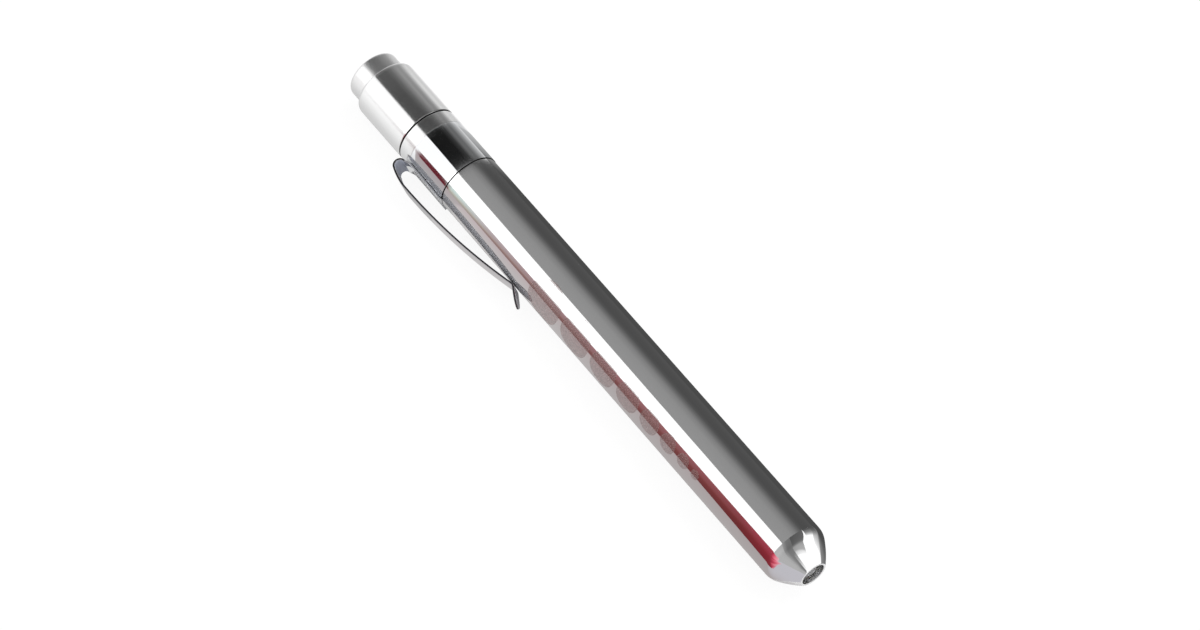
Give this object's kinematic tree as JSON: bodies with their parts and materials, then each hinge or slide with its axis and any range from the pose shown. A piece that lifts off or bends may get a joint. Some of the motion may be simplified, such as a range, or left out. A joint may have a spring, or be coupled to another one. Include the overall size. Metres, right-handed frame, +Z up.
{
  "type": "penlight",
  "caption": "Slim metal two-cell penlight with a push-button tail cap, a spring pocket clip, a cone nose with an LED, and a printed pupil gauge.",
  "frame": {"origin": "on the penlight's axis, at the flat face of the push button", "axes": "+X along the axis from the button to the nose; +Z up as the penlight lies at rest; the clip points low towards -Y"},
  "size_m": [0.1371, 0.0168, 0.013],
  "materials": {
    "polished_tube": "polished",
    "bright_plate": "polished",
    "gauge_ink": "gloss",
    "clear_epoxy": "gloss",
    "tinned_lead": "satin",
    "phosphor": "matte",
    "white_plastic": "matte",
    "board_green": "satin",
    "black_plastic": "matte",
    "brass_contact": "satin",
    "cell_steel": "satin",
    "cell_jacket": "gloss",
    "spring_wire": "satin",
    "satin_cap": "satin"
  },
  "bodies": {
    "penlight": {"barrel": "polished_tube", "clip_band": "bright_plate", "clip_root": "bright_plate", "pupil_gauge": "gauge_ink", "led_lens": "clear_epoxy", "led_anvil": "tinned_lead", "led_post": "tinned_lead", "led_phosphor": "phosphor", "led_holder": "white_plastic", "contact_board": "board_green", "board_resistor": "black_plastic", "contact_rivet": "brass_contact", "ground_washer": "brass_contact", "front_cell_can": "cell_steel", "front_cell_jacket": "cell_jacket", "front_cell_seal": "black_plastic", "front_cell_base": "cell_steel", "rear_cell_can": "cell_steel", "rear_cell_jacket": "cell_jacket", "rear_cell_seal": "black_plastic", "rear_cell_base": "cell_steel"},
    "clip_strap": {"pocket_clip": "bright_plate"},
    "tail_contact": {"battery_spring": "spring_wire", "contact_plate": "brass_contact"},
    "cap": {"tail_cap": "satin_cap", "thread_collar": "satin_cap", "switch_housing": "white_plastic", "snap_ring": "spring_wire", "button_spring": "spring_wire"},
    "button": {"push_button": "satin_cap", "contact_pin": "brass_contact"}
  },
  "joints": [
    {"name": "clip_flex", "type": "hinge", "parent": "penlight", "child": "clip_strap", "pos_m": [0.02049, -0.00842, -0.00358], "axis": [0, 0.3917, -0.9201], "range_deg": [0, 4.5], "stiffness_Nm_per_rad": 3, "springref_deg": -1.15},
    {"name": "cap_travel", "type": "slide", "parent": "penlight", "child": "tail_contact", "axis": [-1, 0, 0], "range_m": [0, 0.0048]},
    {"name": "cap_turn", "type": "hinge", "parent": "tail_contact", "child": "cap", "pos_m": [0.012, 0, 0], "axis": [-1, 0, 0], "range_deg": [0, 2160]},
    {"name": "button_press", "type": "slide", "parent": "cap", "child": "button", "axis": [1, 0, 0], "range_m": [0, 0.0015], "stiffness_N_per_m": 600, "springref_m": -0.002, "deforming": ["button_spring"]}
  ],
  "couplings": [
    {"joint": "cap_travel", "follows": "cap_turn", "m_per_rad": 0.00012732}
  ]
}
